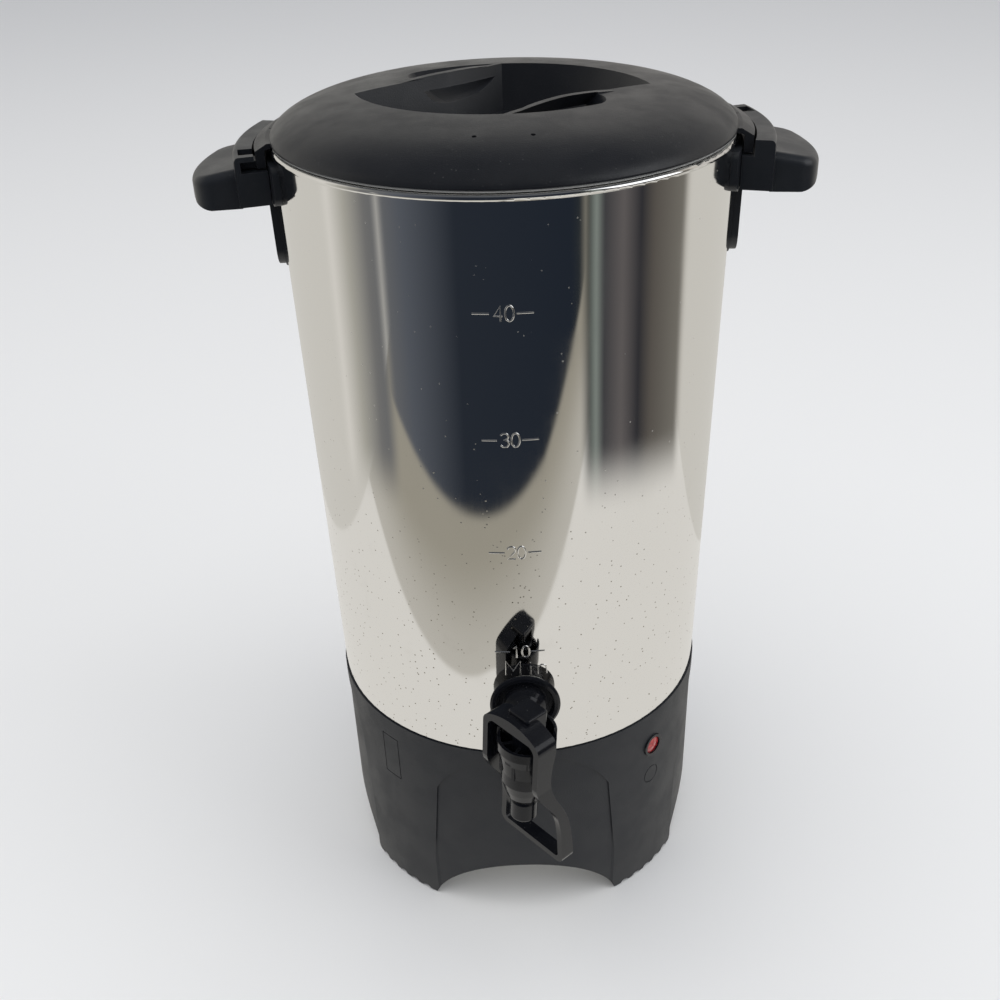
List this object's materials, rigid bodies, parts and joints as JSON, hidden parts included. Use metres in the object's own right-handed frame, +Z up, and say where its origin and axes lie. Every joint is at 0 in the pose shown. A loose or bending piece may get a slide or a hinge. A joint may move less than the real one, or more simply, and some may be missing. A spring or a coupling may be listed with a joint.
{
  "type": "coffee urn",
  "caption": "Tall polished steel percolator urn on an arched black base, with a twist-lock lid, two side handles and a lever tap at the front.",
  "frame": {"origin": "centre of the ring of four foot pads, on the surface the urn stands on", "axes": "+Z up along the vessel's axis, -Y towards the tap at the front, +X and -X towards the two handles"},
  "size_m": [0.27, 0.2439, 0.3972],
  "materials": {
    "steel": "polished stainless steel",
    "steel_inner": "satin stainless steel",
    "black_plastic": "fine matte moulding",
    "handle_plastic": "satin moulding",
    "lid_plastic": "satin moulding",
    "gloss_black": "glossy moulding",
    "rubber_black": "soft rubber",
    "silicone": "soft silicone",
    "red_lens": "clear red",
    "aluminium": "satin",
    "zinc_steel": "zinc plated",
    "brass_pins": "machined"
  },
  "bodies": {
    "urn": {"tank": "steel", "base_shell": "black_plastic", "bottom_cover": "zinc_steel", "cover_screws": "zinc_steel", "foot_pads": "rubber_black", "lamp_lens": "red_lens", "lamp_bezel": "gloss_black", "lamp_body": "silicone", "mains_inlet": "gloss_black", "inlet_pins": "brass_pins", "inlet_screws": "zinc_steel", "brew_heater": "aluminium", "heater_clamp": "zinc_steel", "heater_stud": "zinc_steel", "heater_nut": "zinc_steel", "keep_warm_heater": "aluminium", "thermostat": "zinc_steel", "thermal_fuse": "brass_pins", "fuse_clip": "zinc_steel", "handle_right": "handle_plastic", "handle_left": "handle_plastic", "handle_spacer_right": "handle_plastic", "handle_spacer_left": "handle_plastic", "handle_screws": "steel_inner", "handle_washers": "silicone", "tap_body": "gloss_black", "tap_seal_outer": "silicone", "tap_seal_inner": "silicone", "tap_nut": "gloss_black", "tap_bonnet": "gloss_black", "tap_spring": "steel_inner"},
    "lid_ring": {"lid_seal": "silicone"},
    "lid": {"lid": "lid_plastic"},
    "valve": {"tap_seat": "silicone"},
    "lever_post": {"tap_stem": "gloss_black", "tap_pin": "steel_inner"},
    "lever": {"tap_lever": "gloss_black"},
    "brew_stem": {"perk_tube": "aluminium", "pump_foot": "aluminium"},
    "pump_disc": {"pump_valve": "steel_inner"},
    "basket": {"coffee_basket": "aluminium"},
    "spreader": {"basket_spreader": "aluminium"}
  },
  "joints": [
    {"name": "lid_lift", "type": "slide", "parent": "urn", "child": "lid_ring", "axis": [0, 0, 1], "range_m": [0, 0.44]},
    {"name": "lid_turn", "type": "hinge", "parent": "lid_ring", "child": "lid", "pos_m": [0, 0, 0.38], "axis": [0, 0, -1], "range_deg": [0, 18]},
    {"name": "brew_set_lift", "type": "slide", "parent": "urn", "child": "brew_stem", "axis": [0, 0, 1], "range_m": [0, 0.31]},
    {"name": "basket_lift", "type": "slide", "parent": "brew_stem", "child": "basket", "axis": [0, 0, 1], "range_m": [0, 0.09]},
    {"name": "spreader_lift", "type": "slide", "parent": "basket", "child": "spreader", "axis": [0, 0, 1], "range_m": [0, 0.03]},
    {"name": "pump_disc_lift", "type": "slide", "parent": "brew_stem", "child": "pump_disc", "axis": [0, 0, 1], "range_m": [0, 0.0015]},
    {"name": "valve_lift", "type": "slide", "parent": "urn", "child": "valve", "axis": [0.0523, 0, 0.9986], "range_m": [0, 0.00072], "deforming": ["tap_spring"]},
    {"name": "lever_swivel", "type": "hinge", "parent": "valve", "child": "lever_post", "pos_m": [0.00289, -0.124, 0.15518], "axis": [0.0523, 0, 0.9986], "range_deg": [0, 94]},
    {"name": "lever_pivot", "type": "hinge", "parent": "lever_post", "child": "lever", "pos_m": [0.00289, -0.124, 0.15518], "axis": [0.6811, -0.7314, -0.0357], "range_deg": [0, 6.5], "stiffness_Nm_per_rad": 0.35, "springref_deg": -5.73}
  ],
  "couplings": [
    {"joint": "brew_set_lift", "follows": "lid_lift", "ratio": 0.7},
    {"joint": "basket_lift", "follows": "lid_lift", "ratio": 0.2},
    {"joint": "spreader_lift", "follows": "lid_lift", "ratio": 0.06},
    {"joint": "valve_lift", "follows": "lever_pivot", "m_per_rad": 0.0063}
  ]
}
